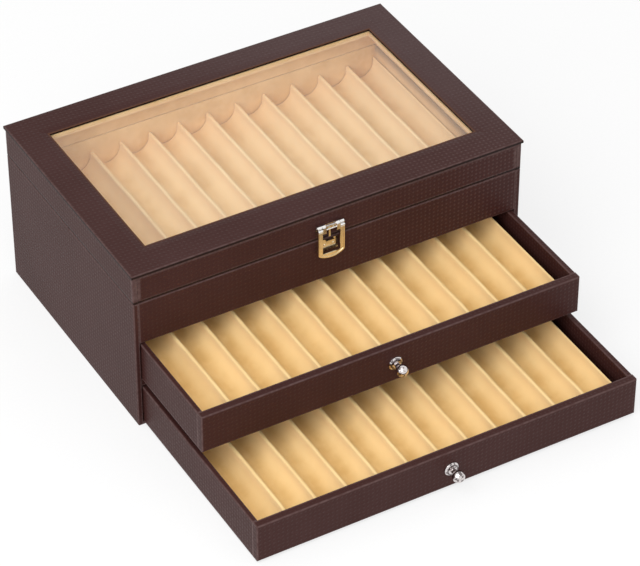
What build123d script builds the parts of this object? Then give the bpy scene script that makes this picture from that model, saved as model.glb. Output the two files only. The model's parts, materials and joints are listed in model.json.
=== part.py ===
from build123d import *
import os
from math import sqrt, tan, radians

# Pen collector chest: a glazed lid over a top tray, and two pull-out drawers.
# Millimetres. X runs across the front, Y to the back and Z up. The origin is the middle of the
# case's underside, on the surface it stands on.
# The drawers stand partly pulled out, the lid and its clasp are shut.

# ---- Pen rests ----------------------------------------------------------------------------
groove_count = 12             # pens across each layer
groove_pitch = 26.0
groove_depth = 16.0
ridge_width = 1.6             # flat left between two grooves
ridge_round = 0.6
insert_height = 22.5
drawer_insert_length = 198.0

# ---- Boards -------------------------------------------------------------------------------
panel_thickness = 4.2         # case and lid walls, with their covering
base_thickness = 2.0
shelf_thickness = 6.5
shelf_setback = 1.0           # shelf edge behind the front face
tray_floor_thickness = 5.0
surround_thickness = 8.0      # strips inside the front and side walls of the top tray
back_surround_thickness = 10.0
lining_thickness = 1.0
edge_round = 1.0              # outer arrises of the covered boards
seam_round = 0.5              # where two covered boards meet

# ---- Drawers ------------------------------------------------------------------------------
drawer_front_thickness = 6.5
drawer_wall = 4.5
drawer_bottom_thickness = 3.0
drawer_rim_over_ridges = 8.5
drawer_edge_round = 1.0
finger_gap = 8.0              # left open at the right of a drawer's pen rest
upper_pull = 95.5             # how far each drawer stands out
lower_pull = 178.0

# ---- Clearances ---------------------------------------------------------------------------
drawer_side_clearance = 0.8
drawer_rear_clearance = 1.8
drawer_running_gap = 0.3      # under a drawer
drawer_head_gap = 1.2         # over a drawer
insert_left_clearance = 1.0
insert_end_clearance = 0.5
tray_insert_clearance = 0.5
seam_gap = 0.4                # between lid and case
glass_edge_clearance = 0.5
bore_clearance = 0.05         # radial, round pins and screws
mortise_clearance = 0.1
knuckle_gap = 0.3
sink_clearance = 0.3          # round a screw head in its counterbore

# ---- Top tray and lid ---------------------------------------------------------------------
tray_rim_over_ridges = 11.25
lid_wall_height = 24.85
frame_thickness = 2.5
frame_overhang = 1.0
frame_bevel_width = 7.0       # band that falls towards the window
frame_bevel_drop = 0.9
frame_edge_round = 0.8
window_side_border = 26.0     # from the case's side face
window_front_border = 29.0
window_back_border = 26.0
glass_thickness = 1.8
ledge_thickness = 4.5

# ---- Rear hinges --------------------------------------------------------------------------
hinge_offset = 95.0           # each side of the middle
hinge_width = 26.0
hinge_leaf_length = 14.0
hinge_leaf_thickness = 1.0
hinge_knuckle_radius = 1.7
hinge_pin_radius = 0.8
hinge_wall_gap = 0.3          # knuckle behind the back face
hinge_screw_offset = 8.0      # each side of the hinge's middle
hinge_screw_inset = 8.5       # in from the back face
screw_radius = 0.9
screw_head_radius = 1.7
screw_length = 7.0
screw_sink_angle = 82.0

# ---- Clasp --------------------------------------------------------------------------------
clasp_x = -3.0                # a little left of the middle, as photographed
clasp_width = 23.0
clasp_plate = 0.8             # sheet of the two fixed plates
clasp_pin_z_over_seam = 13.0
clasp_pin_radius = 0.7
clasp_pin_end = 0.4           # pin past the outer knuckles
clasp_knuckle_radius = 1.6
clasp_knuckle_clearance = 0.1 # to the plate behind
clasp_outer_knuckle = 3.6
clasp_inner_knuckle = 3.0
leaf_foot_over_seam = 1.2
hasp_drop = 25.8              # pin to the corners of the lower edge
hasp_arch = 3.8               # the lower edge bows down by this
hasp_depth = 3.4
hasp_sheet = 1.0
hasp_stile = 3.8              # plate left and right of its window
hasp_ear_foot = 5.4           # ears that carry the knuckles end this far below the pin
hasp_window_foot = 25.0       # below the pin
hasp_corner_round = 2.4
hasp_edge_round = 0.5
hasp_rim = 1.3                # raised border round the flap's face
hasp_rim_height = 0.3
flange_top = 3.0              # side flanges start this far below the pin
catch_width = 15.0
catch_height = 10.5
catch_under_seam = 1.0
catch_nose_width = 7.0        # lip bent forward at the catch's top
catch_nose_reach = 2.4
catch_nose_thickness = 1.3
leaf_band = 5.6               # the leaf's plate, down from the pin
rib_width = 1.6               # tongue that hangs from the plate
rib_reach = 1.0               # in front of the plate
rib_lap = 2.0                 # up the plate
nail_radius = 0.6
nail_length = 2.8
nail_head_radius = 1.1
nail_head_height = 0.45
nail_head_round = 0.35
leaf_nail_offset = 4.0
catch_nail_offset = 3.8

# ---- Knobs --------------------------------------------------------------------------------
rosette_radius = 6.0
rosette_rim = 0.7
rosette_height = 2.2
knob_neck_radius = 2.2
knob_ball_radius = 5.0
knob_ball_reach = 10.0        # ball's centre in front of the drawer
knob_screw_radius = 1.2
knob_screw_depth = 6.5        # into the knob
knob_screw_head_radius = 2.9
knob_screw_head_height = 1.6
knob_sink_depth = 2.1         # counterbore behind the drawer front

# ---- Sizes that follow --------------------------------------------------------------------
insert_width = groove_count * groove_pitch
drawer_inner_width = insert_width + insert_left_clearance + finger_gap
drawer_width = drawer_inner_width + 2 * drawer_wall
inner_width = drawer_width + 2 * drawer_side_clearance
case_width = inner_width + 2 * panel_thickness
drawer_inner_length = drawer_insert_length + 2 * insert_end_clearance
drawer_length = drawer_front_thickness + drawer_inner_length + drawer_wall
case_depth = drawer_length + drawer_rear_clearance + panel_thickness
drawer_height = drawer_bottom_thickness + insert_height + drawer_rim_over_ridges

front_y = -case_depth / 2                         # front and rear faces of the case
rear_y = case_depth / 2
front_inner = front_y + panel_thickness           # inside faces of the front and back walls
rear_inner = rear_y - panel_thickness
half_case = case_width / 2
half_inner = inner_width / 2
half_drawer = drawer_width / 2
half_drawer_inner = drawer_inner_width / 2

lower_drawer_z = base_thickness + drawer_running_gap
shelf_z = lower_drawer_z + drawer_height + drawer_head_gap
upper_drawer_z = shelf_z + shelf_thickness + drawer_running_gap
tray_floor_z = upper_drawer_z + drawer_height + drawer_head_gap
tray_floor_top = tray_floor_z + tray_floor_thickness
case_top = tray_floor_top + insert_height + tray_rim_over_ridges

surround_x = half_inner - surround_thickness      # inner faces of the tray's surround
surround_front = front_inner + surround_thickness
surround_back = rear_inner - back_surround_thickness
lining_x = surround_x - lining_thickness          # inner faces of its velvet
lining_front = surround_front + lining_thickness
lining_back = surround_back - lining_thickness

lid_z = case_top + seam_gap
frame_z = lid_z + lid_wall_height
lid_top = frame_z + frame_thickness
glass_z = frame_z - glass_thickness
ledge_z = glass_z - ledge_thickness
window_x = half_case - window_side_border
window_front = front_y + window_front_border
window_back = rear_y - window_back_border

hinge_y = rear_y + hinge_wall_gap + hinge_knuckle_radius
hinge_z = case_top + seam_gap / 2
hinge_knuckle = (hinge_width - 2 * knuckle_gap) / 3
hinge_screw_y = rear_y - hinge_screw_inset
screw_sink = (screw_head_radius - screw_radius) / tan(radians(screw_sink_angle / 2))

clasp_plate_y = front_y - clasp_plate
clasp_pin_y = clasp_plate_y - clasp_knuckle_clearance - clasp_knuckle_radius
clasp_pin_z = lid_z + clasp_pin_z_over_seam
hasp_face_y = clasp_pin_y - clasp_knuckle_radius - hasp_sheet
leaf_band_foot = clasp_pin_z - leaf_band
leaf_nail_z = leaf_band_foot + (leaf_band - clasp_knuckle_radius) / 2
catch_top = case_top - catch_under_seam
catch_nail_z = catch_top - catch_height / 2

os.makedirs("parts", exist_ok=True)


def save(piece, name):
    """Name a finished piece and write it to its own file."""
    piece.part.label = name
    export_step(piece.part, f"parts/{name}.step")


def rectangle_between(first, second):
    """Draw a rectangle from the two limits along each axis of the sketch."""
    with Locations(((first[0] + first[1]) / 2, (second[0] + second[1]) / 2)):
        Rectangle(first[1] - first[0], second[1] - second[0])


def board(x, y, z):
    """Make a square board that fills the given limits."""
    with BuildPart() as piece:
        with BuildSketch(Plane.XY.offset(z[0])):
            rectangle_between(x, y)
        extrude(amount=z[1] - z[0])
    return piece


def front_plane(y):
    """Sketch plane parallel to the front face: its X is X and its Y is Z, and it looks forward."""
    return Plane.XZ.offset(-y)


def pen_rest(left, front, floor, length):
    """Make a grooved pen rest from its left, front and lower faces."""
    groove_radius = (groove_pitch - ridge_width) / 2
    top = floor + insert_height
    centres = [(left + (i + 0.5) * groove_pitch, top) for i in range(groove_count)]
    with BuildPart() as rest:
        with BuildSketch(front_plane(front)) as profile:
            rectangle_between((left, left + insert_width), (floor, top))
            with Locations(*centres):
                Rectangle(2 * groove_radius, 2 * (groove_depth - groove_radius), mode=Mode.SUBTRACT)
            with Locations(*[(x, z - groove_depth + groove_radius) for x, z in centres]):
                Circle(groove_radius, mode=Mode.SUBTRACT)
            ridge_corners = profile.vertices().group_by(Axis.Y)[-1].sort_by(Axis.X)[1:-1]
            fillet(ridge_corners, ridge_round)
        extrude(amount=-length)
    return rest


def round_outer_side(wall, side):
    """Round a side wall's outer face all round, and its seam with the wall in front."""
    outer_face = wall.faces().sort_by(Axis.X)[0 if side < 0 else -1]
    fillet(outer_face.edges(), edge_round)
    inner_face = wall.faces().sort_by(Axis.X)[-1 if side < 0 else 0]
    fillet(inner_face.edges().filter_by(Axis.Z).sort_by(Axis.Y)[0], seam_round)


def round_front(wall):
    """Round a front wall's long edges, and its seams with the side walls."""
    front_edges = wall.faces().sort_by(Axis.Y)[0].edges()
    fillet(front_edges.filter_by(Axis.X), edge_round)
    seams = wall.faces().sort_by(Axis.Y)[0].edges().filter_by(Axis.Z)
    fillet(seams, seam_round)


# ---- Case boards --------------------------------------------------------------------------
for side, name in ((-1, "left_side_panel"), (1, "right_side_panel")):
    with BuildPart() as side_panel:
        with BuildSketch(Plane.XY):
            rectangle_between(sorted((side * half_inner, side * half_case)), (front_y, rear_y))
        extrude(amount=case_top)
        round_outer_side(side_panel, side)
    save(side_panel, name)


hinge_screw_points = [(centre + step, hinge_screw_y) for centre in (-hinge_offset, hinge_offset)
                      for step in (-hinge_screw_offset, hinge_screw_offset)]


def hinge_seat_cut(bottom, top):
    """Solid of both leaf seats, to be taken out of a board."""
    with BuildPart() as seats:
        with BuildSketch(Plane.XY.offset(bottom)):
            with Locations((-hinge_offset, rear_y), (hinge_offset, rear_y)):
                Rectangle(hinge_width + 2 * mortise_clearance,
                          2 * (hinge_leaf_length + mortise_clearance))
        extrude(amount=top - bottom)
    return seats.part


def screw(clearance):
    """Countersunk screw, head up at height 0, or the hole for it with a clearance."""
    shank = screw_radius + clearance
    head = screw_head_radius + clearance
    with BuildPart() as body:
        with BuildSketch(Plane.XZ):
            with BuildLine():
                Polyline((0, 0), (head, 0), (shank, -screw_sink), (shank, -screw_length - clearance),
                         (0, -screw_length - clearance), close=True)
            make_face()
        revolve(axis=Axis.Z)
    return body.part


body_leaf_seats = hinge_seat_cut(case_top - hinge_leaf_thickness, case_top)
lid_leaf_seats = hinge_seat_cut(lid_z, lid_z + hinge_leaf_thickness)
hinge_screw = screw(0)
hinge_screw_hole = screw(bore_clearance)
body_screw_places = [Location((x, y, case_top)) for x, y in hinge_screw_points]
lid_screw_places = [Location((x, y, lid_z), (180, 0, 0)) for x, y in hinge_screw_points]

with BuildPart() as back_panel:
    with BuildSketch(Plane.XY):
        rectangle_between((-half_inner, half_inner), (rear_inner, rear_y))
    extrude(amount=case_top)
    fillet(back_panel.faces().sort_by(Axis.Y)[-1].edges(), seam_round)
    add(body_leaf_seats, mode=Mode.SUBTRACT)
save(back_panel, "back_panel")

across = (-half_inner, half_inner)
save(board(across, (front_y, rear_inner), (0, base_thickness)), "base_panel")
save(board(across, (front_y + shelf_setback, rear_inner),
           (shelf_z, shelf_z + shelf_thickness)), "drawer_shelf")
save(board(across, (front_inner, rear_inner), (tray_floor_z, tray_floor_top)), "tray_floor")

# ---- Nails and their holes ----------------------------------------------------------------


def nail(clearance):
    """Round-headed nail driven along +Y, head's seat at the origin, or the hole for its shank."""
    with BuildPart() as body:
        with BuildSketch(Plane.XZ):
            Circle(nail_radius + clearance)
        extrude(amount=-(nail_length + clearance))
        if clearance == 0:
            with BuildSketch(Plane.XZ):
                Circle(nail_head_radius)
            extrude(amount=nail_head_height)
            fillet(body.faces().sort_by(Axis.Y)[0].edges(), nail_head_round)
    return body.part


clasp_nail = nail(0)
clasp_nail_hole = nail(bore_clearance)
leaf_nail_places = [Location((clasp_x + step, clasp_plate_y, leaf_nail_z))
                    for step in (-leaf_nail_offset, leaf_nail_offset)]
catch_nail_places = [Location((clasp_x + step, clasp_plate_y, catch_nail_z))
                     for step in (-catch_nail_offset, catch_nail_offset)]

with BuildPart() as front_rail:
    with BuildSketch(Plane.XY.offset(tray_floor_z)):
        rectangle_between(across, (front_y, front_inner))
    extrude(amount=case_top - tray_floor_z)
    round_front(front_rail)
    with Locations(*catch_nail_places):
        add(clasp_nail_hole, mode=Mode.SUBTRACT)
save(front_rail, "front_rail")

# ---- Top tray -----------------------------------------------------------------------------
surround_heights = (tray_floor_top, case_top)
between_ends = (surround_front, surround_back)
save(board(across, (front_inner, surround_front), surround_heights), "front_tray_surround")
save(board((-half_inner, -surround_x), between_ends, surround_heights), "left_tray_surround")
save(board((surround_x, half_inner), between_ends, surround_heights), "right_tray_surround")

with BuildPart() as back_tray_surround:
    with BuildSketch(Plane.XY.offset(tray_floor_top)):
        rectangle_between(across, (surround_back, rear_inner))
    extrude(amount=case_top - tray_floor_top)
    add(body_leaf_seats, mode=Mode.SUBTRACT)
    with Locations(*body_screw_places):
        add(hinge_screw_hole, mode=Mode.SUBTRACT)
save(back_tray_surround, "back_tray_surround")

lining_across = (-surround_x, surround_x)
between_linings = (lining_front, lining_back)
save(board(lining_across, (surround_front, lining_front), surround_heights), "front_tray_lining")
save(board(lining_across, (lining_back, surround_back), surround_heights), "back_tray_lining")
save(board((-surround_x, -lining_x), between_linings, surround_heights), "left_tray_lining")
save(board((lining_x, surround_x), between_linings, surround_heights), "right_tray_lining")

tray_insert_length = lining_back - lining_front - 2 * insert_end_clearance
tray_insert = pen_rest(-lining_x + tray_insert_clearance, lining_front + insert_end_clearance,
                       tray_floor_top, tray_insert_length)
save(tray_insert, "tray_insert")

# ---- Lid ----------------------------------------------------------------------------------
for side, name in ((-1, "lid_left_wall"), (1, "lid_right_wall")):
    with BuildPart() as lid_side:
        with BuildSketch(Plane.XY.offset(lid_z)):
            rectangle_between(sorted((side * half_inner, side * half_case)), (front_y, rear_y))
        extrude(amount=lid_wall_height)
        round_outer_side(lid_side, side)
    save(lid_side, name)

with BuildPart() as lid_front_wall:
    with BuildSketch(Plane.XY.offset(lid_z)):
        rectangle_between(across, (front_y, front_inner))
    extrude(amount=lid_wall_height)
    round_front(lid_front_wall)
    with Locations(*leaf_nail_places):
        add(clasp_nail_hole, mode=Mode.SUBTRACT)
save(lid_front_wall, "lid_front_wall")

with BuildPart() as lid_back_wall:
    with BuildSketch(Plane.XY.offset(lid_z)):
        rectangle_between(across, (rear_inner, rear_y))
    extrude(amount=lid_wall_height)
    fillet(lid_back_wall.faces().sort_by(Axis.Y)[-1].edges(), seam_round)
    add(lid_leaf_seats, mode=Mode.SUBTRACT)
save(lid_back_wall, "lid_back_wall")

liner_heights = (lid_z, ledge_z)
save(board(across, (front_inner, lining_front), liner_heights), "lid_front_liner")
save(board((-half_inner, -lining_x), between_linings, liner_heights), "lid_left_liner")
save(board((lining_x, half_inner), between_linings, liner_heights), "lid_right_liner")

with BuildPart() as lid_back_liner:
    with BuildSketch(Plane.XY.offset(lid_z)):
        rectangle_between(across, (lining_back, rear_inner))
    extrude(amount=ledge_z - lid_z)
    add(lid_leaf_seats, mode=Mode.SUBTRACT)
    with Locations(*lid_screw_places):
        add(hinge_screw_hole, mode=Mode.SUBTRACT)
save(lid_back_liner, "lid_back_liner")

ledge_heights = (ledge_z, glass_z)
beside_window = (window_front, window_back)
save(board(across, (front_inner, window_front), ledge_heights), "front_glass_ledge")
save(board(across, (window_back, rear_inner), ledge_heights), "back_glass_ledge")
save(board((-half_inner, -window_x), beside_window, ledge_heights), "left_glass_ledge")
save(board((window_x, half_inner), beside_window, ledge_heights), "right_glass_ledge")

glass_x = half_inner - glass_edge_clearance
glass_y = (front_inner + glass_edge_clearance, rear_inner - glass_edge_clearance)
save(board((-glass_x, glass_x), glass_y, (glass_z, frame_z)), "glass_pane")

with BuildPart() as lid_top_frame:
    with BuildSketch(Plane.XY.offset(frame_z)):
        rectangle_between((-half_case - frame_overhang, half_case + frame_overhang),
                          (front_y - frame_overhang, rear_y + frame_overhang))
        with Locations((0, (window_front + window_back) / 2)):
            Rectangle(2 * window_x, window_back - window_front, mode=Mode.SUBTRACT)
    extrude(amount=frame_thickness)
    top_face = lid_top_frame.faces().sort_by(Axis.Z)[-1]
    chamfer(top_face.inner_wires()[0].edges(), frame_bevel_width, frame_bevel_drop,
            reference=top_face)
    outer_loop = lid_top_frame.faces().sort_by(Axis.Z)[-1].outer_wire()
    fillet(outer_loop.edges(), frame_edge_round)
save(lid_top_frame, "lid_top_frame")

# ---- Rear hinges --------------------------------------------------------------------------


def hinge_leaf(centre, bottom, knuckle_steps, screw_places):
    """Make a leaf with its barrel knuckles at the given steps along the pin."""
    with BuildPart() as leaf:
        with BuildSketch(Plane.XY.offset(bottom)):
            rectangle_between((centre - hinge_width / 2, centre + hinge_width / 2),
                              (rear_y - hinge_leaf_length, rear_y))
            for step in knuckle_steps:
                rectangle_between((centre + step - hinge_knuckle / 2,
                                   centre + step + hinge_knuckle / 2), (rear_y, hinge_y))
        extrude(amount=hinge_leaf_thickness)
        for step in knuckle_steps:
            with BuildSketch(Plane.YZ.offset(centre + step - hinge_knuckle / 2)):
                with Locations((hinge_y, hinge_z)):
                    Circle(hinge_knuckle_radius)
            extrude(amount=hinge_knuckle)
        with BuildSketch(Plane.YZ.offset(centre - hinge_width / 2)):
            with Locations((hinge_y, hinge_z)):
                Circle(hinge_pin_radius + bore_clearance)
        extrude(amount=hinge_width, mode=Mode.SUBTRACT)
        with Locations(*screw_places):
            add(hinge_screw_hole, mode=Mode.SUBTRACT)
    return leaf


outer_steps = (-hinge_knuckle - knuckle_gap, hinge_knuckle + knuckle_gap)
for centre, hand in ((-hinge_offset, "left"), (hinge_offset, "right")):
    body_leaf = hinge_leaf(centre, case_top - hinge_leaf_thickness, outer_steps,
                           body_screw_places)
    save(body_leaf, f"{hand}_hinge_body_leaf")
    lid_leaf = hinge_leaf(centre, lid_z, (0,), lid_screw_places)
    save(lid_leaf, f"{hand}_hinge_lid_leaf")

with BuildPart() as hinge_pins:
    for centre in (-hinge_offset, hinge_offset):
        with BuildSketch(Plane.YZ.offset(centre - hinge_width / 2)):
            with Locations((hinge_y, hinge_z)):
                Circle(hinge_pin_radius)
        extrude(amount=hinge_width)
save(hinge_pins, "hinge_pins")

with BuildPart() as hinge_body_screws:
    with Locations(*body_screw_places):
        add(hinge_screw)
save(hinge_body_screws, "hinge_body_screws")

with BuildPart() as hinge_lid_screws:
    with Locations(*lid_screw_places):
        add(hinge_screw)
save(hinge_lid_screws, "hinge_lid_screws")

# ---- Clasp --------------------------------------------------------------------------------
clasp_left = clasp_x - clasp_width / 2
clasp_right = clasp_x + clasp_width / 2
outer_knuckles = ((clasp_left, clasp_left + clasp_outer_knuckle),
                  (clasp_right - clasp_outer_knuckle, clasp_right))
inner_start = clasp_outer_knuckle + knuckle_gap
inner_knuckles = ((clasp_left + inner_start, clasp_left + inner_start + clasp_inner_knuckle),
                  (clasp_right - inner_start - clasp_inner_knuckle, clasp_right - inner_start))


def clasp_barrel(limits, radius, mode=Mode.ADD):
    """Round bar on the clasp's pin line between two values of X."""
    with BuildSketch(Plane.YZ.offset(limits[0])) as disc:
        with Locations((clasp_pin_y, clasp_pin_z)):
            Circle(radius)
    extrude(disc.sketch, amount=limits[1] - limits[0], mode=mode)


leaf_foot = lid_z + leaf_foot_over_seam
with BuildPart() as clasp_leaf:
    with BuildSketch(front_plane(front_y)):
        rectangle_between((clasp_left, clasp_right), (leaf_band_foot, clasp_pin_z))
    extrude(amount=clasp_plate)
    for knuckle in outer_knuckles:
        clasp_barrel(knuckle, clasp_knuckle_radius)
        with BuildSketch(front_plane(front_y)):
            rectangle_between(knuckle, (clasp_pin_z - clasp_knuckle_radius, clasp_pin_z))
        extrude(amount=front_y - clasp_pin_y)
    with BuildSketch(front_plane(front_y)):
        rectangle_between((clasp_x - rib_width / 2, clasp_x + rib_width / 2),
                          (leaf_foot, leaf_band_foot + rib_lap))
    extrude(amount=clasp_plate + rib_reach)
    clasp_barrel((clasp_left, clasp_right), clasp_pin_radius + bore_clearance, Mode.SUBTRACT)
    with Locations(*leaf_nail_places):
        add(clasp_nail_hole, mode=Mode.SUBTRACT)
save(clasp_leaf, "clasp_leaf")

with BuildPart() as clasp_nails:
    with Locations(*leaf_nail_places):
        add(clasp_nail)
save(clasp_nails, "clasp_nails")

with BuildPart() as clasp_pin:
    clasp_barrel((clasp_left - clasp_pin_end, clasp_right + clasp_pin_end), clasp_pin_radius)
save(clasp_pin, "clasp_pin")

corner_z = clasp_pin_z - hasp_drop
flange_z = clasp_pin_z - flange_top
window_bottom_z = clasp_pin_z - hasp_window_foot


def hasp_face(inset):
    """Draw the flap's face, with its arched lower edge, smaller all round by an inset."""
    left, right = clasp_left + inset, clasp_right - inset
    top, corner = flange_z - inset, corner_z + inset
    with BuildLine() as outline:
        Polyline((left, corner), (left, top), (right, top), (right, corner))
        ThreePointArc((right, corner), (clasp_x, corner - hasp_arch), (left, corner))
    make_face(outline.edges())


with BuildPart() as clasp_hasp:
    with BuildSketch(front_plane(hasp_face_y + hasp_depth)):
        hasp_face(0)
    extrude(amount=hasp_depth)
    bottom_corners = clasp_hasp.edges().filter_by(Axis.Y).group_by(Axis.Z)[0]
    fillet(bottom_corners, hasp_corner_round)
    front_edges = clasp_hasp.faces().sort_by(Axis.Y)[0].edges()
    fillet(front_edges, hasp_edge_round)
    with BuildSketch(front_plane(hasp_face_y)):
        hasp_face(hasp_rim)
    extrude(amount=-hasp_rim_height, mode=Mode.SUBTRACT)
    with BuildSketch(front_plane(hasp_face_y + hasp_depth)):
        rectangle_between((clasp_left + hasp_sheet, clasp_right - hasp_sheet),
                          (corner_z - 2 * hasp_arch, flange_z + hasp_sheet))
    extrude(amount=hasp_depth - hasp_sheet, mode=Mode.SUBTRACT)
    for knuckle in inner_knuckles:
        with BuildSketch(front_plane(clasp_pin_y)):
            rectangle_between(knuckle, (flange_z - hasp_sheet, clasp_pin_z))
        extrude(amount=clasp_pin_y - hasp_face_y)
        clasp_barrel(knuckle, clasp_knuckle_radius)
    with BuildSketch(front_plane(front_y)):
        rectangle_between((clasp_left + hasp_stile, clasp_right - hasp_stile),
                          (window_bottom_z, clasp_pin_z - hasp_ear_foot))
        rectangle_between((inner_knuckles[0][1], inner_knuckles[1][0]),
                          (window_bottom_z, clasp_pin_z))
    extrude(amount=2 * (front_y - hasp_face_y), mode=Mode.SUBTRACT)
    clasp_barrel((clasp_left, clasp_right), clasp_pin_radius + bore_clearance, Mode.SUBTRACT)
save(clasp_hasp, "clasp_hasp")

catch_sides = (clasp_x - catch_width / 2, clasp_x + catch_width / 2)
with BuildPart() as catch_plate:
    with BuildSketch(front_plane(front_y)):
        rectangle_between(catch_sides, (catch_top - catch_height, catch_top))
    extrude(amount=clasp_plate)
    with BuildSketch(front_plane(clasp_plate_y)):
        rectangle_between((clasp_x - catch_nose_width / 2, clasp_x + catch_nose_width / 2),
                          (catch_top - catch_nose_thickness, catch_top))
    extrude(amount=catch_nose_reach)
    with Locations(*catch_nail_places):
        add(clasp_nail_hole, mode=Mode.SUBTRACT)
save(catch_plate, "catch_plate")

with BuildPart() as catch_nails:
    with Locations(*catch_nail_places):
        add(clasp_nail)
save(catch_nails, "catch_nails")

# ---- Drawers ------------------------------------------------------------------------------


def knob_and_screw(face, height):
    """Make a turned ball knob on the plane y = face, and the screw that holds it."""
    seat = Plane(origin=(0, face, height), x_dir=(1, 0, 0), z_dir=(0, 0, -1))
    spin = Axis((0, face, height), (0, -1, 0))
    ball_foot = knob_ball_reach - sqrt(knob_ball_radius ** 2 - knob_neck_radius ** 2)
    bore = knob_screw_radius + bore_clearance
    with BuildPart() as knob:
        with BuildSketch(seat):
            with BuildLine():
                Line((bore, 0), (rosette_radius, 0))
                Line((rosette_radius, 0), (rosette_radius, rosette_rim))
                ThreePointArc((rosette_radius, rosette_rim),
                              ((rosette_radius + knob_neck_radius) / 2 + rosette_rim / 2,
                               (rosette_height + rosette_rim) / 2 + rosette_rim / 2),
                              (knob_neck_radius, rosette_height))
                Line((knob_neck_radius, rosette_height), (knob_neck_radius, ball_foot))
                ThreePointArc((knob_neck_radius, ball_foot), (knob_ball_radius, knob_ball_reach),
                              (0, knob_ball_reach + knob_ball_radius))
                Line((0, knob_ball_reach + knob_ball_radius), (0, knob_screw_depth))
                Polyline((0, knob_screw_depth), (bore, knob_screw_depth), (bore, 0))
            make_face()
        revolve(axis=spin)

    head_seat = drawer_front_thickness - knob_sink_depth
    with BuildPart() as knob_screw:
        with BuildSketch(seat):
            rectangle_between((0, knob_screw_radius), (-head_seat, knob_screw_depth))
            rectangle_between((0, knob_screw_head_radius),
                              (-head_seat - knob_screw_head_height, -head_seat))
        revolve(axis=spin)
    return knob, knob_screw


def build_drawer(name, bottom, pull):
    """Make and save every piece of a drawer that stands out by the given pull."""
    face = front_y - pull
    front_inside = face + drawer_front_thickness
    back_inside = front_inside + drawer_inner_length
    back_outside = back_inside + drawer_wall
    heights = (bottom, bottom + drawer_height)
    floor = bottom + drawer_bottom_thickness
    knob_z = bottom + drawer_height / 2

    with BuildPart() as drawer_front:
        with BuildSketch(Plane.XY.offset(bottom)):
            rectangle_between((-half_drawer, half_drawer), (face, front_inside))
        extrude(amount=drawer_height)
        face_edges = drawer_front.faces().sort_by(Axis.Y)[0].edges()
        fillet(face_edges, drawer_edge_round)
        with Locations(Plane(origin=(0, front_inside, knob_z), z_dir=(0, 1, 0))):
            CounterBoreHole(radius=knob_screw_radius + bore_clearance,
                            counter_bore_radius=knob_screw_head_radius + sink_clearance,
                            counter_bore_depth=knob_sink_depth)
    save(drawer_front, f"{name}_drawer_front")

    for side, hand in ((-1, "left"), (1, "right")):
        with BuildPart() as drawer_side:
            with BuildSketch(Plane.XY.offset(bottom)):
                rectangle_between(sorted((side * half_drawer_inner, side * half_drawer)),
                                  (front_inside, back_outside))
            extrude(amount=drawer_height)
            long_top_edges = drawer_side.edges().filter_by(Axis.Y).group_by(Axis.Z)[-1]
            fillet(long_top_edges, drawer_edge_round)
        save(drawer_side, f"{name}_drawer_{hand}_side")

    inner = (-half_drawer_inner, half_drawer_inner)
    save(board(inner, (back_inside, back_outside), heights), f"{name}_drawer_back")
    save(board(inner, (front_inside, back_inside), (bottom, floor)), f"{name}_drawer_bottom")
    rest = pen_rest(-half_drawer_inner + insert_left_clearance,
                    front_inside + insert_end_clearance, floor, drawer_insert_length)
    save(rest, f"{name}_drawer_insert")
    knob, knob_screw = knob_and_screw(face, knob_z)
    save(knob, f"{name}_knob")
    save(knob_screw, f"{name}_knob_screw")


build_drawer("upper", upper_drawer_z, upper_pull)
build_drawer("lower", lower_drawer_z, lower_pull)
print(f"case {case_width:.1f} x {case_depth:.1f} x {lid_top:.2f} mm")
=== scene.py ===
"""Looks of the pen collector chest: finishes, velvet pen rests and linings, camera and light.

Everything is in metres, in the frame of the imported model: Z up, -Y out of the front, the origin
in the middle of the chest's underside. Colours are linear.
"""

import json
import math

import bmesh
import bpy
import numpy as np
from mathutils import Matrix, Vector
from mathutils.geometry import tessellate_polygon


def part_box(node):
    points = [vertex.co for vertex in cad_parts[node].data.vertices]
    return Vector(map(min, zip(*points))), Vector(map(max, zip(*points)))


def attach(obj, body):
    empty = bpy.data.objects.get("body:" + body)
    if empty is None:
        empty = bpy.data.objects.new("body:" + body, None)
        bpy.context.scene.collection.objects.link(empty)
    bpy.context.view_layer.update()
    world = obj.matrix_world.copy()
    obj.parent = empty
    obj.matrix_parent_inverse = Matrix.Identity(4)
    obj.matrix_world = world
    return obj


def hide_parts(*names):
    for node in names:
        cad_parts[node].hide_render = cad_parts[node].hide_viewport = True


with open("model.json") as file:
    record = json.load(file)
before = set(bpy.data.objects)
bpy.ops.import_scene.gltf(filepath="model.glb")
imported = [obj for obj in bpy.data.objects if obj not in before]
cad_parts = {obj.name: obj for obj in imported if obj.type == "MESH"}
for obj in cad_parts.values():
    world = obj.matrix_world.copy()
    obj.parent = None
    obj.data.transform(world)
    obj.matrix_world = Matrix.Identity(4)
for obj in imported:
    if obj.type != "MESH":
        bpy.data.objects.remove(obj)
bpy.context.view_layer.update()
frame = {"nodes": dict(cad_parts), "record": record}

MM = 0.001

# ---- Camera, fitted to the photograph's edges -------------------------------------------------
CAMERA_AZIMUTH = -29.83       # degrees, 0 looks along +Y
CAMERA_ELEVATION = 38.98
CAMERA_DISTANCE = 2.5664
CAMERA_RIGHT = -0.00911       # sideways and upward steps that put the chest in the frame
CAMERA_UP = 0.05574
CAMERA_LENS = 184.3           # mm, on the sensor below
SENSOR_WIDTH = 36.0
CAMERA_CLIP = (0.05, 50.0)
FRONT_Y = -0.108              # the case's front face, which the camera was fitted to

# ---- Light and floor --------------------------------------------------------------------------
KEY_PLACE = (-1.25, -1.0, 1.55)
KEY_TARGET = (0, -0.05, 0.08)
KEY_SIZE = 2.0
KEY_WATTS = 34.0
SURROUND_LEVEL = 0.75         # light from all round; where it is seen, the surround is white, 1
FLOOR_HALF = 4.0
FLOOR_TONES = (0.93, 0.95)    # its darkest and lightest grain
FLOOR_GRAIN = (400.0, 2.0, 0.5)
FLOOR_GLOW = 0.70             # share of plain white where the floor is seen

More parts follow.
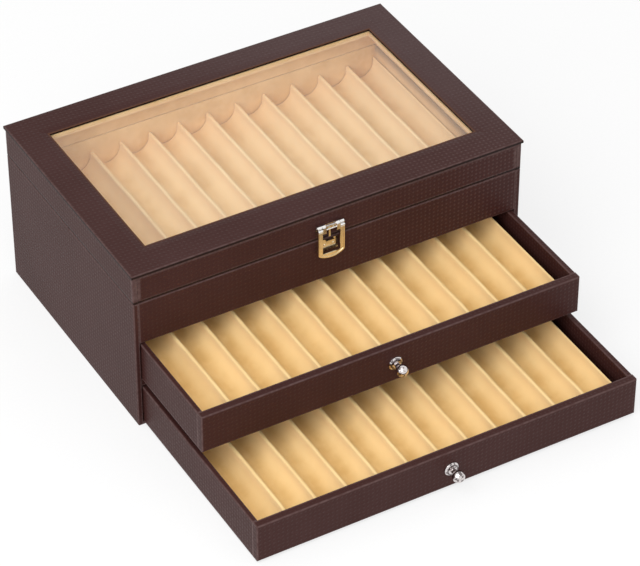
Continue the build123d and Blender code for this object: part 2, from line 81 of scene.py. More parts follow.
# ---- Pen rests --------------------------------------------------------------------------------
GROOVES = 12
GROOVE_DEPTH = 16.0 * MM
CREST_RADIUS = 1.4 * MM       # velvet over the ridge between two grooves
END_RIDGE = 1.5 * MM          # width of the ridge along the left and the right side
REST_EDGE_ROUND = 0.6 * MM    # rounding of the front and the back end
GROOVE_STEPS, CREST_STEPS, END_STEPS = 22, 8, 6     # facets of each arc of the section
REST_STEPS = 44               # steps from front to back
SAG_CELL, SAG = 19 * MM, 0.25 * MM      # uneven height: size of a hollow, and how far it varies
LEAN_CELL, LEAN = 23 * MM, 0.3 * MM     # walls that lean sideways
CRINKLE_CELL, CRINKLE = 6 * MM, 0.12 * MM
STILL_RIM, STILL_BLEND = 2 * MM, 3 * MM     # even margin at the sides, and its fade inwards
REST_SEEDS = {"tray": 3, "upper": 5, "lower": 8}
TRAY_BLUE, DRAWER_BLUE = 0.94, 0.85     # yellower than the linings: share of their blue

# ---- Velvet covered boards --------------------------------------------------------------------
SIDES = ("front", "back", "left", "right")
BOARD_ROUND = 0.45 * MM
LEDGE_ROUND = 0.9 * MM
MOST_ROUND = 0.45             # most rounding, as a share of the thinnest side
BOARD_CELL = 8 * MM           # size of the mesh's faces
BOARD_WAVE = 0.1 * MM         # most that a face is hollow
WAVE_LENGTH = 2.2 * BOARD_CELL
LINING_SEED, LINER_SEED, LEDGE_SEED = 11, 21, 31    # the first of four each
LINING_TOP_SHADE, LEDGE_TOP_SHADE = 0.9, 0.6      # painted shade at the top of the left and the right ones
TOP_SHADE_REACH = 0.33             # share of the height that the painted shade covers

# ---- Clasp ------------------------------------------------------------------------------------
KNUCKLE_Z = 129.9 * MM        # its knuckles, plated whiter than its plates, start here
BAR_Y, BAR_Z = -112.4 * MM, 129.6 * MM  # white bar on the flap's shoulders, under the pin
BAR_ENDS = (-14.5 * MM, 8.5 * MM)
BAR_COLLAR = 3.6 * MM         # length of the thick part at each end
BAR_RADII = (0.55 * MM, 1.1 * MM)       # of the bar and of its collars
BAR_ROUND = 0.35 * MM
BAR_SIDES = 32

SHARP_VELVET, SHARP_METAL = 50, 35      # degrees from which an edge stays sharp


# ================================ mesh helpers =================================================
def new_object(name, data):
    """Link an object for a mesh, a camera or a light."""
    thing = bpy.data.objects.new(name, data)
    bpy.context.scene.collection.objects.link(thing)
    return thing


def settle(work, mesh, sharp_from):
    """Write a bmesh to a mesh: faces outward, and smooth up to an angle in degrees."""
    bmesh.ops.recalc_face_normals(work, faces=work.faces[:])
    work.to_mesh(mesh)
    work.free()
    for polygon in mesh.polygons:
        polygon.use_smooth = True
    mesh.set_sharp_from_angle(angle=math.radians(sharp_from))


def quarter_round(radius):
    """Points of a rounded end: how far along it, and how much inside the full section."""
    return [(radius * (1 - math.cos(math.radians(angle))),
             radius * (1 - math.sin(math.radians(angle)))) for angle in (0, 30, 60, 90)]


def smooth_noise(rng, x, y, cell, amount):
    """Smooth random height at points, from a grid of random values blended by cubic weights."""
    columns = int(np.ptp(x) / cell) + 3
    rows = int(np.ptp(y) / cell) + 3
    grid = rng.uniform(-amount, amount, (columns, rows))
    u = (x - x.min()) / cell
    v = (y - y.min()) / cell
    i, j = u.astype(int), v.astype(int)
    s, t = u - i, v - j
    s, t = s * s * (3 - 2 * s), t * t * (3 - 2 * t)
    low = grid[i, j] * (1 - s) + grid[i + 1, j] * s
    high = grid[i, j + 1] * (1 - s) + grid[i + 1, j + 1] * s
    return low * (1 - t) + high * t


# ================================ pieces =======================================================
def velvet_piece(name, mesh, node, body, finish):
    """Link a velvet piece that shows in the place of a CAD solid."""
    piece = new_object(name, mesh)
    piece.data.materials.append(finish)
    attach(piece, body)
    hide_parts(node)
    return piece


def rest_profile(width, height, inset):
    """Cross-section of a pen rest from its left foot over the grooves to its right foot.

    Every surface but the foot lies inset deeper than on the full section.
    """
    pitch = width / GROOVES
    top = height - inset
    points = [(inset, 0.0), (inset, height * 0.3), (inset, height * 0.65)]

    def arc(x, z, radius, start, end, steps):
        for k in range(steps + 1):
            angle = math.radians(start + (end - start) * k / steps)
            points.append((x + radius * math.cos(angle), z + radius * math.sin(angle)))

    end_radius = END_RIDGE / 2 - inset
    crest = CREST_RADIUS - inset
    arc(END_RIDGE / 2, top - end_radius, end_radius, 180, 0, END_STEPS)
    for groove in range(GROOVES):
        left = END_RIDGE if groove == 0 else groove * pitch + CREST_RADIUS
        right = (width - END_RIDGE if groove == GROOVES - 1
                 else (groove + 1) * pitch - CREST_RADIUS)
        radius = (right - left) / 2
        wall_foot = height - GROOVE_DEPTH + radius
        points.append((left - inset, (wall_foot + height) / 2))
        arc((left + right) / 2, wall_foot, radius + inset, 180, 360, GROOVE_STEPS)
        points.append((right + inset, (wall_foot + height) / 2))
        if groove < GROOVES - 1:
            arc((groove + 1) * pitch, top - crest, crest, 180, 0, CREST_STEPS)
    arc(width - END_RIDGE / 2, top - end_radius, end_radius, 180, 0, END_STEPS)
    points += [(width - inset, height * 0.65), (width - inset, height * 0.3),
               (width - inset, 0.0)]
    return np.array(points)


def make_uneven(points, width, height, seed):
    """Let the points of a pen rest sag and lean a little, all but its foot and its sides."""
    rng = np.random.default_rng(seed)
    x, y = points[:, 0], points[:, 1]
    raised = np.clip(points[:, 2] / height, 0, 1)
    sag = smooth_noise(rng, x, y, SAG_CELL, SAG)
    lean = (smooth_noise(rng, x, y, LEAN_CELL, LEAN)
            + smooth_noise(rng, x, y, CRINKLE_CELL, CRINKLE))
    inside = np.clip((np.minimum(x, width - x) - STILL_RIM) / STILL_BLEND, 0, 1)
    points[:, 2] += inside * raised * (sag - SAG)
    points[:, 0] += inside * raised * lean


def pen_rest(name, node, body, seed, blue):
    """Foam pen rest under velvet, with soft crests, rounded ends and a little unevenness."""
    low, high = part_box(node)
    width, length, height = high - low
    ends = quarter_round(REST_EDGE_ROUND)
    between_ends = length - 2 * REST_EDGE_ROUND
    middle = [(REST_EDGE_ROUND + between_ends * k / REST_STEPS, 0.0)
              for k in range(1, REST_STEPS)]
    stations = ends + middle + [(length - y, inset) for y, inset in reversed(ends)]
    rows = []
    for y, inset in stations:
        section = rest_profile(width, height, inset)
        rows.append(np.column_stack([section[:, 0], np.full(len(section), y), section[:, 1]]))
    points = np.concatenate(rows)
    make_uneven(points, width, height, seed)
    points += np.array(low)

    count = len(points) // len(stations)
    faces = []
    for r in range(len(stations) - 1):
        for k in range(count):
            a, b = r * count + k, r * count + (k + 1) % count
            faces.append((a, b, b + count, a + count))
    for start in (0, (len(stations) - 1) * count):
        outline = [Vector(points[start + k]) for k in range(count)]
        faces += [tuple(start + k for k in triangle)
                  for triangle in tessellate_polygon([outline])]
    mesh = bpy.data.meshes.new(name)
    mesh.from_pydata(points.tolist(), [], faces)
    work = bmesh.new()
    work.from_mesh(mesh)
    settle(work, mesh, SHARP_VELVET)
    finish = velvet("velvet_" + name, seed, crest_z=low.z + height, blue=blue)
    piece = velvet_piece(name, mesh, node, body, finish)


def velvet_board(name, node, body, seed, rounding=BOARD_ROUND, top_shade=0.0):
    """Card strip wrapped in velvet: rounded edges and faces that aren't quite flat.

    top_shade is how much painted shade darkens the board towards its top.
    """
    low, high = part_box(node)
    size = high - low
    centre = (low + high) / 2
    work = bmesh.new()
    bmesh.ops.create_cube(work, size=1.0)
    bmesh.ops.scale(work, vec=size, verts=work.verts)
    for axis in range(3):
        direction = Vector([1.0 if k == axis else 0.0 for k in range(3)])
        steps = max(1, int(size[axis] / BOARD_CELL))
        for k in range(1, steps):
            place = direction * (-size[axis] / 2 + size[axis] * k / steps)
            geometry = work.verts[:] + work.edges[:] + work.faces[:]
            bmesh.ops.bisect_plane(work, geom=geometry, plane_co=place, plane_no=direction)
    corners = [e for e in work.edges if e.calc_face_angle(0) > math.radians(60)]
    bmesh.ops.bevel(work, geom=corners, offset=min(rounding, min(size) * MOST_ROUND), segments=3,
                    profile=0.5, affect="EDGES", clamp_overlap=True)
    rng = np.random.default_rng(seed)
    thin = min(range(3), key=lambda k: size[k])
    across, along = [k for k in range(3) if k != thin]
    points = np.array([v.co for v in work.verts])
    ripple = smooth_noise(rng, points[:, across], points[:, along], WAVE_LENGTH, BOARD_WAVE)
    for vertex, step in zip(work.verts, ripple):
        side = 1.0 if vertex.co[thin] > 0 else -1.0
        vertex.co[thin] -= side * (BOARD_WAVE + float(step)) / 2
    bmesh.ops.translate(work, vec=centre, verts=work.verts)
    mesh = bpy.data.meshes.new(name)
    settle(work, mesh, SHARP_VELVET)
    finish = velvet("velvet_" + name, seed, top_shade_band=(low.z, high.z, top_shade))
    velvet_piece(name, mesh, node, body, finish)


def add_clasp_bar():
    """Turned bar along X on the clasp's flap, with a rounded collar at each end."""
    thin, thick = BAR_RADII
    left, right = BAR_ENDS
    turn = [(along, thick - inset) for along, inset in quarter_round(BAR_ROUND)]
    outline = [(0.0, 0.0)] + turn
    outline += [(BAR_COLLAR - along, radius) for along, radius in reversed(turn)]
    outline.append((BAR_COLLAR, thin))
    profile = [(left + along, radius) for along, radius in outline]
    profile += [(right - along, radius) for along, radius in reversed(outline)]
    work = bmesh.new()
    rings = []
    for x, radius in profile:
        angles = [2 * math.pi * k / BAR_SIDES for k in range(BAR_SIDES if radius else 1)]
        rings.append([work.verts.new((x, BAR_Y + radius * math.cos(angle),
                                      BAR_Z + radius * math.sin(angle))) for angle in angles])
    for first, second in zip(rings, rings[1:]):
        for k in range(BAR_SIDES):
            corners = [first[k % len(first)], first[(k + 1) % len(first)],
                       second[(k + 1) % len(second)], second[k % len(second)]]
            work.faces.new(list(dict.fromkeys(corners)))
    mesh = bpy.data.meshes.new("clasp_bar")
    settle(work, mesh, SHARP_METAL)
    piece = new_object("clasp_bar", mesh)
    piece.data.materials.append(metal(*CLASP_BAR))
    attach(piece, "clasp")


# ================================ node helpers =================================================
class Nodes:
    """Short calls for building the node tree of a material or a world."""

    def __init__(self, owner, output="OutputMaterial"):
        owner.use_nodes = True
        self.owner = owner
        self.tree = owner.node_tree
        self.tree.nodes.clear()
        self.output = self.add(output)

    def add(self, kind, settings=None, **inputs):
        """Make a node; inputs are named with _ for a space and are values or sockets."""
        node = self.tree.nodes.new("ShaderNode" + kind)
        for key, value in (settings or {}).items():
            setattr(node, key, value)
        for key, value in inputs.items():
            index = int(key[1:]) if key[0] == "i" and key[1:].isdigit() else key.replace("_", " ")
            self.feed(node.inputs[index], value)
        return node

    def feed(self, socket, value):
        """Link a socket to another, or write its value."""
        if isinstance(value, bpy.types.NodeSocket):
            self.tree.links.new(value, socket)
        else:
            socket.default_value = value

    def math(self, operation, first, second=0.0):
        """Output of a Math node."""
        return self.add("Math", {"operation": operation}, i0=first, i1=second).outputs[0]

    def vector_math(self, operation, first, second=(0.0, 0.0, 0.0)):
        """Output of a Vector Math node."""
        return self.add("VectorMath", {"operation": operation}, i0=first, i1=second).outputs[0]

    def axes(self, vector):
        """The three components of a vector."""
        return self.add("SeparateXYZ", Vector=vector).outputs

    def stretched(self, place, scale):
        """A place times a factor along each axis."""
        return self.add("Mapping", Vector=place, Scale=scale).outputs[0]

    def between(self, value, low, high, start=0.0, end=1.0):
        """Map a value smoothly from low..high to start..end."""
        return self.add("MapRange", {"interpolation_type": "SMOOTHSTEP"}, Value=value,
                        From_Min=low, From_Max=high, To_Min=start, To_Max=end).outputs[0]

    def noise(self, place, scale, detail, roughness):
        """Noise from 0 to 1 at a place; scale is in repeats per metre."""
        return self.add("TexNoise", Vector=place, Scale=scale, Detail=detail,
                        Roughness=roughness).outputs["Fac"]

    def mix(self, share, first, second):
        """Blend of two colours."""
        return self.add("Mix", {"data_type": "RGBA"}, i0=share, i6=first, i7=second).outputs[2]

    def mix_shader(self, share, first, second):
        """Blend of two shader nodes, as a node."""
        return self.add("MixShader", i0=share, i1=first.outputs[0], i2=second.outputs[0])

    def bump(self, height, distance, strength, normal=None):
        """Normal from a height of 0..1 that stands for a distance in metres."""
        node = self.add("Bump", Strength=strength, Distance=distance, Height=height)
        if normal is not None:
            self.feed(node.inputs["Normal"], normal)
        return node.outputs[0]

    def seen(self):
        """1 for rays from the camera, a reflection or through glass, and 0 for any other."""
        path = self.add("LightPath").outputs
        seen = self.math("MAXIMUM", path["Is Camera Ray"], path["Is Glossy Ray"])
        return self.math("MAXIMUM", seen, path["Is Transmission Ray"])

    def finish(self, shader):
        """Link a shader node to the output and give back the material or the world."""
        self.tree.links.new(shader.outputs[0], self.output.inputs["Surface"])
        return self.owner


def new_material(name):
    """Node tree of a new material."""
    return Nodes(bpy.data.materials.new(name))


def colour(r, g, b):
    """Colour as a socket takes it."""
    return (r, g, b, 1.0)


# ================================ velvet =======================================================
# Here and below, a noise is its repeats per metre, detail and roughness, and a bump its depth
# and strength.
VELVET = colour(0.90, 0.625, 0.32)
VELVET_PALE = colour(0.97, 0.72, 0.43)
VELVET_DEEP = colour(0.78, 0.505, 0.225)
VELVET_SHADE = colour(0.30, 0.19, 0.115)
VELVET_SHEEN = colour(1.0, 0.86, 0.66)
VELVET_CLOUDS = (38.0, 3.0, 0.55)
VELVET_STREAKS = (160.0, 3.0, 0.6)
STREAK_STRETCH = (1.0, 0.35, 1.0)
VELVET_PILE = (2600.0, 2.0, 0.7)
PILE_BUMP = (0.05 * MM, 0.6)
STREAK_BUMP = (0.15 * MM, 0.5)
PALE_CREST_SPAN = (2.6 * MM, 0.4 * MM)     # depths below the crest where the paler nap starts and where it is full: rubbed nap and a painted highlight


def velvet(name, seed, crest_z=None, top_shade_band=(0.0, 0.0, 0.0), blue=1.0):
    """Tan velvet: soft blotches where the nap lies differently, fine pile and a pale sheen.

    crest_z is the height of a pen rest's crests, which are paler: rubbed nap and a painted
    highlight. top_shade_band gives the foot and the top of a board whose top gets painted shade,
    and how much. blue scales the colours' blue.
    """
    usual, pale, deep = [colour(r, g, b * blue)
                         for r, g, b, _ in (VELVET, VELVET_PALE, VELVET_DEEP)]
    n = new_material(name)
    source = n.add("TexCoord").outputs
    height = n.axes(source["Object"])[2]
    moved = n.vector_math("ADD", source["Object"], (0.37 * seed, 0.21 * seed, 0.0))
    clouds = n.noise(moved, *VELVET_CLOUDS)
    streaks = n.noise(n.stretched(moved, STREAK_STRETCH), *VELVET_STREAKS)
    pile = n.noise(moved, *VELVET_PILE)
    tone = n.mix(n.between(clouds, 0.32, 0.68), deep, usual)
    tone = n.mix(n.between(streaks, 0.45, 0.8, 0.0, 0.3), tone, pale)
    tone = n.mix(n.between(pile, 0.35, 0.65, 0.0, 0.2), tone, deep)
    if crest_z is not None:
        # Painted shade on walls that face right, and a painted highlight on walls that face left.
        side = n.axes(source["Normal"])[0]
        tone = n.mix(n.between(side, 0.05, 0.95, 0.0, 0.75), tone, deep)
        tone = n.mix(n.between(side, -0.95, -0.1, 0.75, 0.0), tone, pale)
        # Paler crests: rubbed nap, and a painted highlight along them.
        starts, full = PALE_CREST_SPAN
        crest_paleness = n.between(height, crest_z - starts, crest_z - full, 0.0, 0.35)
        tone = n.mix(crest_paleness, tone, pale)
    # Painted shade that darkens the board towards its top.
    foot_z, top_z, top_shade = top_shade_band
    if top_shade:
        darkens_z = top_z - TOP_SHADE_REACH * (top_z - foot_z)
        tone = n.mix(n.between(height, darkens_z, top_z, 0.0, top_shade), tone, VELVET_SHADE)
    normal = n.bump(pile, *PILE_BUMP)
    normal = n.bump(streaks, *STREAK_BUMP, normal)
    return n.finish(n.add("BsdfPrincipled", Base_Color=tone, Normal=normal, Roughness=0.95,
                          Specular_IOR_Level=0.1, Sheen_Weight=0.65, Sheen_Roughness=0.5,
                          Sheen_Tint=VELVET_SHEEN))


# ================================ leatherette ==================================================
EMBOSS_PITCH = 3.78 * MM
STUD_RISE = (0.35, 1.7)       # sum of the two waves where a stud starts, and where it is full
STUD_FACES = 0.8              # studs show on faces that face an axis at least this squarely
STUD_BUMP = (0.25 * MM, 0.6)
STUD_POLISH = 0.07            # a stud is smoother by this much
FAINT_STUD_HIGHLIGHT, DRAWER_STUD_HIGHLIGHT, CASE_STUD_HIGHLIGHT = 0.1, 0.2, 0.6    # painted highlight on the studs: faintest, on the drawers, and on the case
STUD_HIGHLIGHT_X = (-0.04, 0.13)       # x where the studs' painted highlight is faintest, and where it is strongest
STUD_HIGHLIGHT_FRONT, STUD_HIGHLIGHT_FADE = 0.11, 1.5     # both move right by 1.5 m a metre behind y = -0.11

HIDE_DARK = colour(0.0425, 0.0130, 0.0108)
HIDE_LIGHT = colour(0.0495, 0.0170, 0.0150)
# Painted highlight on the studs.
HIDE_STUD_HIGHLIGHT = colour(0.088, 0.045, 0.042)
HIDE_PORE = colour(0.030, 0.009, 0.007)
# Painted grey sheen on the frame's top.
HIDE_PAINTED_SHEEN = colour(0.105, 0.072, 0.072)
# Worn arrises, with a painted highlight.
HIDE_WORN_HIGHLIGHT = colour(0.115, 0.070, 0.066)
HIDE_CUT = colour(0.090, 0.034, 0.016)
# Painted shade in creases.
HIDE_CREASE_SHADE = colour(0.010, 0.003, 0.002)
HIDE_CLOUDS = (14.0, 3.0, 0.6)
HIDE_PORES = (900.0, 3.0, 0.6)
HIDE_PATCHES = (260.0, 2.0, 0.6)
HIDE_GRAIN = 1500.0           # cells per metre
GRAIN_BUMP = (0.05 * MM, 0.35)
HIDE_ROUGHNESS = (0.46, 0.58)

WORN_HIGHLIGHT_EDGE = (0.35 * MM, 1.5 * MM)       # rubbed arris of a board, with a painted highlight: full, then gone
WORN_HIGHLIGHT_LID_WALL = (1.7 * MM, 3.2 * MM)    # wider on the lid's walls, under the frame's edge
CREASE_SHADE_SPAN = (1.4 * MM, 2.5 * MM)        # painted shade in the crease along a lid board's foot: full, then gone
UPRIGHT = 0.7                 # the painted crease shade is on faces that face up less than this
WINDOW_X = 144.0 * MM         # half of the lid's window
WINDOW_Y = (-79.0 * MM, 82.0 * MM)
WINDOW_CUT = (0.7 * MM, 1.8 * MM)       # redder edge round the window: full, then gone
PAINTED_SHEEN_RISE = (-0.02, 0.22)    # x + y where the painted sheen starts, and where it is full


def nearest_arris(n, axes, low, high):
    """Distance to the nearest arris of a box.

    It is the middle one of the distances to the box's three pairs of faces.
    """
    first, second, third = [n.math("MINIMUM", n.math("SUBTRACT", axis, below),
                                   n.math("SUBTRACT", above, axis))
                            for axis, below, above in zip(axes, low, high)]
    return n.math("MAXIMUM", n.math("MINIMUM", first, second),
                  n.math("MINIMUM", n.math("MAXIMUM", first, second), third))


def window_rim(n, axes):
    """Distance to the edges of the lid's window."""
    beside = n.math("SUBTRACT", n.math("ABSOLUTE", axes[0]), WINDOW_X)
    behind = n.math("SUBTRACT", axes[1], WINDOW_Y[1])
    before = n.math("SUBTRACT", WINDOW_Y[0], axes[1])
    return n.math("ABSOLUTE", n.math("MAXIMUM", beside, n.math("MAXIMUM", behind, before)))


def leatherette(node):
    """Dark brown embossed leatherette on one board: grain, and studs and rubbed arrises with a
    painted highlight.
    """
    low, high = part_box(node)
    n = new_material("leatherette_" + node)
    source = n.add("TexCoord").outputs
    place = source["Object"]
    axes = n.axes(place)
    across, front, up = n.axes(n.vector_math("ABSOLUTE", source["Normal"]))
    waves = [n.math("COSINE", n.math("MULTIPLY", axis, 2 * math.pi / EMBOSS_PITCH))
             for axis in axes]

    def studs(first, second, facing_share):
        """Height of the studs on a face that holds two of the axes."""
        raised = n.between(n.math("ADD", first, second), *STUD_RISE)
        return n.math("MULTIPLY", raised, n.math("GREATER_THAN", facing_share, STUD_FACES))

    stud = n.math("ADD", studs(waves[1], waves[2], across),
                  n.math("ADD", studs(waves[0], waves[2], front),
                         studs(waves[0], waves[1], up)))
    grain = n.add("TexVoronoi", {"feature": "F1"}, Vector=place, Scale=HIDE_GRAIN,
                  Randomness=1.0).outputs["Distance"]
    pores = n.noise(place, *HIDE_PORES)
    clouds = n.noise(place, *HIDE_CLOUDS)
    patches = n.noise(place, *HIDE_PATCHES)

    base = n.mix(n.between(clouds, 0.3, 0.7), HIDE_DARK, HIDE_LIGHT)
    # Painted highlight on the studs: strongest towards the front and the right, faint elsewhere.
    behind_front = n.math("MAXIMUM", n.math("ADD", axes[1], STUD_HIGHLIGHT_FRONT), 0.0)
    strongest_stud_highlight = DRAWER_STUD_HIGHLIGHT if node.startswith(("upper_", "lower_")) else CASE_STUD_HIGHLIGHT
    stud_highlight = n.between(n.math("SUBTRACT", axes[0], n.math("MULTIPLY", behind_front, STUD_HIGHLIGHT_FADE)),
                      *STUD_HIGHLIGHT_X, FAINT_STUD_HIGHLIGHT, strongest_stud_highlight)
    raised = n.math("MULTIPLY", stud, n.math("MULTIPLY", stud_highlight,
                                             n.between(clouds, 0.3, 0.7, 0.7, 1.0)))
    base = n.mix(raised, base, HIDE_STUD_HIGHLIGHT)
    if node == "lid_top_frame":
        # A painted grey sheen on the top, towards the back right corner.
        painted_sheen = n.between(n.math("ADD", axes[0], axes[1]), *PAINTED_SHEEN_RISE, 0.0, 0.45)
        base = n.mix(painted_sheen, base, HIDE_PAINTED_SHEEN)
    base = n.mix(n.between(pores, 0.35, 0.75, 0.0, 0.3), base, HIDE_PORE)
    # Arrises rubbed paler: wear, and a painted highlight along them.
    lid_wall = node.startswith("lid_") and node.endswith("_wall")
    full, gone = WORN_HIGHLIGHT_LID_WALL if lid_wall else WORN_HIGHLIGHT_EDGE
    arris = nearest_arris(n, axes, low, high)
    worn = n.math("MULTIPLY", n.between(arris, full, gone, 0.75, 0.0),
                  n.between(patches, 0.3, 0.65, 0.45, 1.0))
    base = n.mix(worn, base, HIDE_WORN_HIGHLIGHT)
    if node == "lid_top_frame":
        base = n.mix(n.between(window_rim(n, axes), *WINDOW_CUT, 0.95, 0.0), base, HIDE_CUT)
    # Painted shade in the crease along the foot of each lid board.
    if node.startswith("lid_"):
        crease_shade = n.between(n.math("SUBTRACT", axes[2], low.z), *CREASE_SHADE_SPAN, 0.92, 0.0)
        upright = n.math("LESS_THAN", up, UPRIGHT)
        base = n.mix(n.math("MULTIPLY", crease_shade, upright), base, HIDE_CREASE_SHADE)
    rough = n.math("SUBTRACT", n.between(pores, 0.3, 0.7, *HIDE_ROUGHNESS),
                   n.math("MULTIPLY", stud, STUD_POLISH))
    normal = n.bump(grain, *GRAIN_BUMP)
    normal = n.bump(stud, *STUD_BUMP, normal)
    return n.finish(n.add("BsdfPrincipled", Base_Color=base, Roughness=rough, Normal=normal,
                          Specular_IOR_Level=0.15))


# ================================ board, metal and glass =======================================
BOARD_DARK, BOARD_LIGHT = colour(0.085, 0.045, 0.032), colour(0.12, 0.07, 0.05)
BOARD_FIBRE = (900.0, 4.0, 0.6)
FIBRE_STRETCH = (0.2, 1.0, 1.0)
FIBRE_BUMP = (0.04 * MM, 0.4)

# Metals by material slot: name, polished and worn colour, roughness, scratches per metre, how
# far the scratches are stretched, and the height above which the plating is whiter.
EVEN, ALONG_X, ALONG_Y = (1.0, 1.0, 1.0), (0.12, 1.0, 1.0), (1.0, 0.2, 1.0)
METALS = {
    "polished_chrome": ("chrome_finish", colour(0.54, 0.52, 0.52), colour(0.33, 0.31, 0.31),
                        0.07, 2400.0, EVEN),
    "pale_brass": ("pale_brass_finish", colour(0.77, 0.71, 0.58), colour(0.67, 0.60, 0.46),
                   0.20, 5200.0, ALONG_X, KNUCKLE_Z),
    "hinge_brass": ("hinge_brass_finish", colour(0.76, 0.63, 0.42), colour(0.62, 0.50, 0.33),
                    0.30, 5200.0, ALONG_X),
    "screw_steel": ("screw_steel_finish", colour(0.70, 0.69, 0.66), colour(0.58, 0.57, 0.54),
                    0.32, 4200.0, ALONG_Y),
}
WHITE_PLATE = colour(0.86, 0.85, 0.83)
WHITE_BLEND = 0.2 * MM        # the plating changes to white over this much up and down
CLASP_BAR = ("clasp_bar_finish", WHITE_PLATE, colour(0.70, 0.69, 0.67), 0.14, 3000.0,
             (0.2, 1.0, 1.0))
SCRATCHES = (3.0, 0.6)        # detail and roughness of the noise
SCRATCH_BUMP = (0.006 * MM, 0.25)
SMUDGES = (320.0, 2.0, 0.5)
POLISH_SPREAD = (0.75, 1.3)   # the roughness varies between these shares of itself

# The second colour is a painted dark reflection, laid in spots.
KNOB_CHROME, KNOB_PAINTED_REFLECTION = colour(0.70, 0.65, 0.64), colour(0.12, 0.10, 0.10)
KNOB_REFLECTION_SPOTS = (480.0, 1.0, 0.5)
KNOB_LINES = (2400.0, 3.0, 0.6)
KNOB_ROUGHNESS = (0.06, 0.10)
# Painted shade of a groove round the rosette.
GROOVE_PAINTED_SHADE = colour(0.10, 0.08, 0.08)
GROOVE_RADIUS = 4.2 * MM      # of the painted shade of a groove round the rosette
GROOVE_FADE = (0.35 * MM, 0.7 * MM)     # to either side of that: full, then gone
GROOVE_REACH = 4.0 * MM       # it ends this far in front of the drawer, short of the ball

GLASS_TINT = colour(0.955, 0.97, 0.99)
GLASS_OPEN = colour(0.955, 0.968, 0.985)        # its tint for lamps and for light off the velvet
GLASS_SMEARS = (45.0, 4.0, 0.6)
GLASS_ROUGHNESS = (0.0, 0.05)
GLASS_IOR = 1.45


def brown_board():
    """Board inside the tray, behind the velvet: painted brown with a fine paper grain."""
    n = new_material("brown_board_finish")
    place = n.add("TexCoord").outputs["Object"]
    fibre = n.noise(n.stretched(place, FIBRE_STRETCH), *BOARD_FIBRE)
    tone = n.mix(n.between(fibre, 0.35, 0.7), BOARD_DARK, BOARD_LIGHT)
    return n.finish(n.add("BsdfPrincipled", Base_Color=tone, Roughness=0.8,
                          Normal=n.bump(fibre, *FIBRE_BUMP), Specular_IOR_Level=0.25))


def metal(name, tone, worn, roughness, scratch_scale, stretch, whiter=None):
    """Plated metal with a slightly uneven polish, and perhaps whiter above a height."""
    n = new_material(name)
    place = n.add("TexCoord").outputs["Object"]
    lines = n.noise(n.stretched(place, stretch), scratch_scale, *SCRATCHES)
    smudge = n.noise(place, *SMUDGES)
    base = n.mix(n.between(smudge, 0.4, 0.75, 0.0, 0.5), tone, worn)
    if whiter is not None:
        height = n.axes(place)[2]
        base = n.mix(n.between(height, whiter - WHITE_BLEND, whiter + WHITE_BLEND), base,
                     WHITE_PLATE)
    smoothest, roughest = POLISH_SPREAD
    rough = n.between(lines, 0.3, 0.7, roughness * smoothest, roughness * roughest)
    return n.finish(n.add("BsdfPrincipled", Base_Color=base, Metallic=1.0, Roughness=rough,
                          Normal=n.bump(lines, *SCRATCH_BUMP)))


def knob_chrome(node):
    """Turned chrome on one knob: painted shade of a groove round its rosette, and painted dark
    reflections in spots.
    """
    low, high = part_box(node)
    n = new_material("chrome_" + node)
    place = n.add("TexCoord").outputs["Object"]
    x, y, z = n.axes(place)
    beside = n.math("SUBTRACT", x, (low.x + high.x) / 2)
    above = n.math("SUBTRACT", z, (low.z + high.z) / 2)
    radius = n.math("SQRT", n.math("ADD", n.math("MULTIPLY", beside, beside),
                                   n.math("MULTIPLY", above, above)))
    # Painted shade of a groove: a dark ring round the rosette.
    off_ring = n.math("ABSOLUTE", n.math("SUBTRACT", radius, GROOVE_RADIUS))
    before_drawer = n.math("SUBTRACT", high.y, y)
    groove = n.math("MULTIPLY", n.between(off_ring, *GROOVE_FADE, 0.9, 0.0),
                    n.math("LESS_THAN", before_drawer, GROOVE_REACH))
    # Painted dark reflections in spots.
    reflection_spots = n.noise(place, *KNOB_REFLECTION_SPOTS)
    base = n.mix(n.between(reflection_spots, 0.52, 0.60, 0.0, 0.88), KNOB_CHROME, KNOB_PAINTED_REFLECTION)
    base = n.mix(groove, base, GROOVE_PAINTED_SHADE)
    lines = n.noise(place, *KNOB_LINES)
    return n.finish(n.add("BsdfPrincipled", Base_Color=base, Metallic=1.0,
                          Roughness=n.between(lines, 0.3, 0.7, *KNOB_ROUGHNESS),
                          Normal=n.bump(lines, *SCRATCH_BUMP)))


def clear_glass():
    """Window glass with faint smears, which lets light through to the velvet below."""
    n = new_material("clear_glass_finish")
    place = n.add("TexCoord").outputs["Object"]
    smear = n.noise(place, *GLASS_SMEARS)
    rough = n.between(smear, 0.45, 0.8, *GLASS_ROUGHNESS)
    glass = n.add("BsdfPrincipled", Base_Color=GLASS_TINT, Roughness=rough, IOR=GLASS_IOR,
                  Transmission_Weight=1.0)
    open_way = n.add("BsdfTransparent", Color=GLASS_OPEN)
    path = n.add("LightPath").outputs
    lamps = n.mix_shader(path["Is Shadow Ray"], glass, open_way)
    return n.finish(n.mix_shader(path["Is Diffuse Ray"], lamps, open_way))


# ================================ the chest ====================================================
def add_velvet():
    """Every velvet piece, each in the place of its CAD solid."""
    pen_rest("tray_pen_rest", "tray_insert", "case", REST_SEEDS["tray"], TRAY_BLUE)
    for drawer in ("upper", "lower"):
        pen_rest(f"{drawer}_pen_rest", f"{drawer}_drawer_insert", f"{drawer}_drawer",
                 REST_SEEDS[drawer], DRAWER_BLUE)
    for k, side in enumerate(SIDES):
        shaded = side in ("left", "right")
        velvet_board(f"{side}_tray_velvet", f"{side}_tray_lining", "case", LINING_SEED + k,
                     top_shade=LINING_TOP_SHADE if shaded else 0.0)
        velvet_board(f"{side}_lid_velvet", f"lid_{side}_liner", "lid", LINER_SEED + k)
        velvet_board(f"{side}_ledge_velvet", f"{side}_glass_ledge", "lid", LEDGE_SEED + k,
                     rounding=LEDGE_ROUND, top_shade=LEDGE_TOP_SHADE if shaded else 0.0)


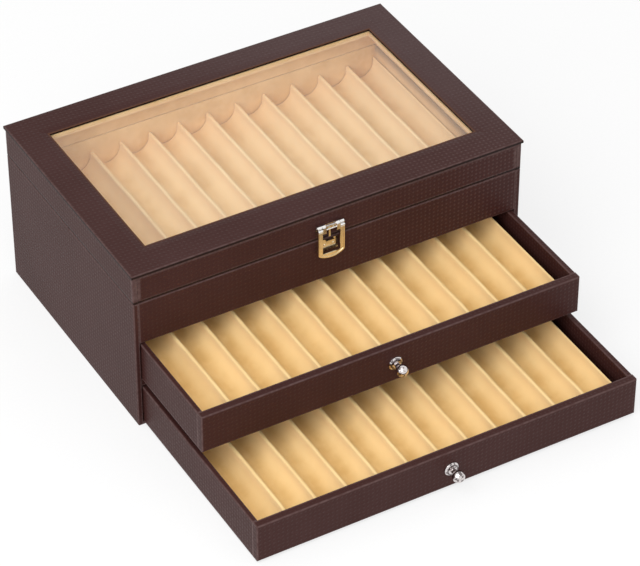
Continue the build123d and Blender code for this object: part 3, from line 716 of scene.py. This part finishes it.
def dress_cad_nodes():
    """Give each CAD node that shows its finish, chosen by the record's material slot."""
    finishes = {"board": brown_board(), "clear_glass": clear_glass()}
    finishes.update({slot: metal(*recipe) for slot, recipe in METALS.items()})
    for subpart in frame["record"]["subparts"]:
        node = frame["nodes"][subpart["node"]]
        slot = subpart["material_slot"]
        if slot == "tan_velvet":
            continue
        if slot == "leatherette":
            finish = leatherette(node.name)
        elif node.name.endswith("_knob"):
            finish = knob_chrome(node.name)
        else:
            finish = finishes[slot]
        for material_slot in node.material_slots:
            material_slot.material = finish


# ================================ stage ========================================================
def add_camera():
    """Camera at the photograph's place."""
    az, el = math.radians(CAMERA_AZIMUTH), math.radians(CAMERA_ELEVATION)
    back = Vector((math.sin(az) * math.cos(el), -math.cos(az) * math.cos(el), math.sin(el)))
    right = Vector((math.cos(az), math.sin(az), 0.0))
    up = back.cross(right)
    data = bpy.data.cameras.new("camera")
    data.sensor_width = SENSOR_WIDTH
    data.lens = CAMERA_LENS
    data.clip_start, data.clip_end = CAMERA_CLIP
    camera = new_object("camera", data)
    place = (Vector((0, FRONT_Y, 0)) + back * CAMERA_DISTANCE + right * CAMERA_RIGHT
             + up * CAMERA_UP)
    rotation = Matrix((right, up, back)).transposed()
    camera.matrix_world = Matrix.Translation(place) @ rotation.to_4x4()
    bpy.context.scene.camera = camera


def add_key_lamp():
    """Large square soft lamp, high at the front left."""
    data = bpy.data.lights.new("key", "AREA")
    data.shape = "SQUARE"
    data.size = KEY_SIZE
    data.energy = KEY_WATTS
    lamp = new_object("key", data)
    lamp.location = KEY_PLACE
    towards = Vector(KEY_TARGET) - Vector(KEY_PLACE)
    lamp.rotation_euler = towards.to_track_quat("-Z", "Y").to_euler()


def add_world():
    """White surround for sight and reflections, and a plain soft light from it."""
    world = bpy.data.worlds.new("surround")
    bpy.context.scene.world = world
    n = Nodes(world, "OutputWorld")
    soft = n.add("Background", Color=colour(1, 1, 1), Strength=SURROUND_LEVEL)
    white = n.add("Background", Color=colour(1, 1, 1), Strength=1.0)
    n.finish(n.mix_shader(n.seen(), soft, white))


def add_floor():
    """Pale floor that reads white to the camera and keeps a soft shadow."""
    half = FLOOR_HALF
    mesh = bpy.data.meshes.new("floor")
    mesh.from_pydata([(-half, -half, 0), (half, -half, 0), (half, half, 0), (-half, half, 0)], [],
                     [(0, 1, 2, 3)])
    floor = new_object("floor", mesh)
    n = new_material("floor_finish")
    grain = n.noise(n.add("TexCoord").outputs["Object"], *FLOOR_GRAIN)
    dark, light = [colour(level, level, level) for level in FLOOR_TONES]
    tone = n.mix(n.between(grain, 0.3, 0.7), dark, light)
    matte = n.add("BsdfPrincipled", Base_Color=tone, Roughness=0.9, Specular_IOR_Level=0.1)
    glow = n.add("Emission", Color=colour(1, 1, 1), Strength=1.0)
    share = n.math("MULTIPLY", n.seen(), FLOOR_GLOW)
    floor.data.materials.append(n.finish(n.mix_shader(share, matte, glow)))


add_camera()
add_velvet()
add_clasp_bar()
dress_cad_nodes()
add_world()
add_key_lamp()
add_floor()
bpy.context.scene.view_settings.view_transform = "Standard"
